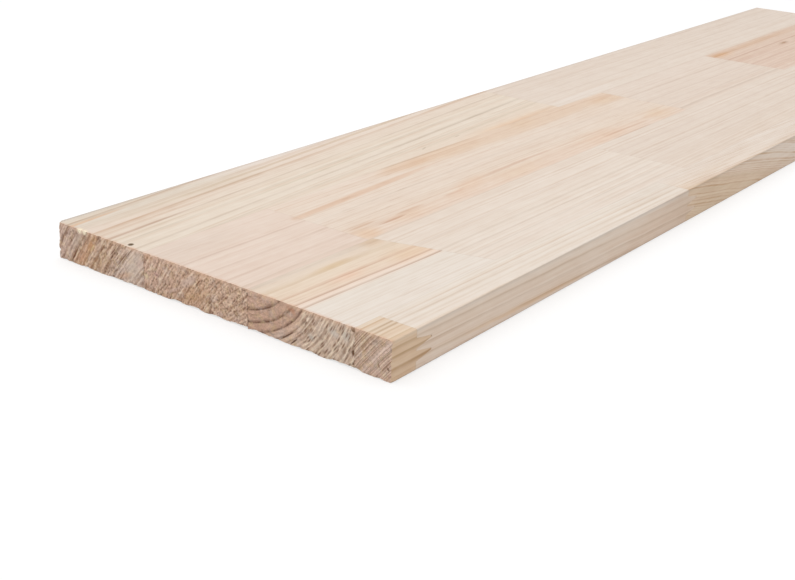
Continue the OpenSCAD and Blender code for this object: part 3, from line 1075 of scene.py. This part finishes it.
# Each row's name, its outer edge and its lengths from the near end
rows = [
    ("left_stave", "left", [leftStave1, leftStave2]),
    ("inner_left_stave", "", [innerLeft1, innerLeft2, innerLeft3, innerLeft4]),
    ("inner_right_stave", "", [innerRight1, innerRight2, innerRight3, innerRight4]),
    ("edge_strip", "right", [edgeStrip1, edgeStrip2, edgeStrip3, edgeStrip4]),
]
rowSeeds = 10                # room for the seeds of a row's lengths
triangles = 0
for rowNumber, (rowName, outer, lengths) in enumerate(rows, 1):
    for number, piece in enumerate(lengths, 1):    # each length starts at its CAD node's shoulder line
        piece["node"] = f"{rowName}_{number}"
        piece["seed"] = rowSeeds * rowNumber + number
        low, high = [np.array(corner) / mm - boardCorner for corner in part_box(piece["node"])]
        piece["low"], piece["high"], piece["outer"] = low[1], high[1], outer
        piece["start"] = low[0] + (high[1] - low[1]) / 2 * math.tan(math.radians(piece["nearSkew"]))
        piece["near"] = piece["far"] = "joint"
    lengths[0]["near"] = lengths[-1]["far"] = "sawn"
    for piece, following in zip(lengths, lengths[1:] + [None]):
        piece["end"] = following["start"] if following else boardLength
    for piece in lengths:
        made = makePiece(piece)
        made.data.materials.append(planedPine(piece))
        made.data.materials.append(sawnPine(piece))
        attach(made, "root")
        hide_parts(piece["node"])
        triangles += 2 * len(made.data.polygons)
        print(f"{piece['node']}: {piece['start']:.1f} to {piece['end']:.1f} mm,",
              len(made.data.polygons), "quads")
print("board:", triangles, "triangles")


# Studio: a plain pale floor that is white to the camera and keeps the board's soft shadow
studio = {
    "floorSize": 14.0,
    "floorDrop": 0.0002,
    "bounce": 0.8,           # what the floor gives back to the board
    "shownBounce": 0.42,     # with the glow below, an open floor shows white
    "shownGlow": 0.62,
    "openFrom": 0.7,         # the floor is plain white from here on out
    "openTo": 1.6,
    "skyStrength": 0.7,
    "boxSize": 1.8,
    "boxPlace": (-0.35, 0.25, 1.7),
    "boxPower": 12.0,
}


# Share of rays that see the white background: camera, glossy and transmission rays
def seenDirectly(tree):
    path = addNode(tree, "LightPath", out=None)
    both = addNode(tree, "Math", [path["Is Camera Ray"], path["Is Glossy Ray"]], operation="MAXIMUM")
    return addNode(tree, "Math", [both, path["Is Transmission Ray"]], operation="MAXIMUM")


half = studio["floorSize"] / 2
floorHeight = cadLow.z - studio["floorDrop"]
corners = [(x * half, y * half, floorHeight) for x, y in ((-1, -1), (1, -1), (1, 1), (-1, 1))]
floorMesh = bpy.data.meshes.new("floor")
floorMesh.from_pydata(corners, [], [(0, 1, 2, 3)])
floor = addObject("floor", floorMesh)
paper = newMaterial("matteStudioPaper")
paperTree = paper.node_tree
paperTree.nodes.remove(paperTree.nodes["Principled BSDF"])
bounce, shownPaper = [addNode(paperTree, "BsdfDiffuse", {"Color": (studio[name],) * 3 + (1,)})
                      for name in ("bounce", "shownBounce")]
glow, openWhite = [addNode(paperTree, "Emission", {"Strength": strength})
                   for strength in (studio["shownGlow"], 1.0)]
nearWhite = addNode(paperTree, "AddShader", [shownPaper, glow])
floorPlace = addNode(paperTree, "TexCoord", out="Object")
fromBoard = addNode(paperTree, "VectorMath", [floorPlace], out="Value", operation="LENGTH")
openShare = addNode(paperTree, "MapRange", [fromBoard, studio["openFrom"], studio["openTo"]])
shownWhite = addNode(paperTree, "MixShader", [openShare, nearWhite, openWhite])
paperMix = addNode(paperTree, "MixShader", [seenDirectly(paperTree), bounce, shownWhite])
setInputs(paperTree, paperTree.nodes["Material Output"], {"Surface": paperMix})
floorMesh.materials.append(paper)

world = bpy.data.worlds.new("studioWorld")
bpy.context.scene.world = world
world.use_nodes = True
skyTree = world.node_tree
skyShare = addNode(skyTree, "MapRange", {0: seenDirectly(skyTree), 3: studio["skyStrength"], 4: 1.0})
setInputs(skyTree, skyTree.nodes["Background"], {"Color": (1, 1, 1, 1), "Strength": skyShare})

lamp = bpy.data.lights.new("softBox", "AREA")
lamp.shape = "SQUARE"
lamp.size = studio["boxSize"]
lamp.energy = studio["boxPower"]
softBox = addObject("softBox", lamp)
softBox.location = studio["boxPlace"]
softBox.rotation_mode = "QUATERNION"
softBox.rotation_quaternion = (-Vector(studio["boxPlace"])).to_track_quat("-Z", "Y")
print("studio lit")

# Camera at the photograph's viewing angle
view = {
    "azimuth": -52.794,
    "elevation": 22.638,
    "roll": 1.871,
    "place": (-0.754397, -0.370547, 0.225333),
    "lens": 58.30,
    "sensor": 36.0,
}
azimuth, elevation, roll = [math.radians(view[name]) for name in ("azimuth", "elevation", "roll")]
back = Vector((math.sin(azimuth) * math.cos(elevation), -math.cos(azimuth) * math.cos(elevation),
               math.sin(elevation)))
right = Vector((0, 0, 1)).cross(back).normalized()
up = back.cross(right)
rolledRight = math.cos(roll) * right + math.sin(roll) * up
rolledUp = math.cos(roll) * up - math.sin(roll) * right
turned = Matrix((rolledRight, rolledUp, back)).transposed()
lensData = bpy.data.cameras.new("camera")
lensData.lens = view["lens"]
lensData.sensor_width = view["sensor"]
camera = addObject("camera", lensData)
camera.matrix_world = Matrix.Translation(view["place"]) @ turned.to_4x4()
bpy.context.scene.camera = camera
bpy.context.scene.view_settings.view_transform = "Standard"
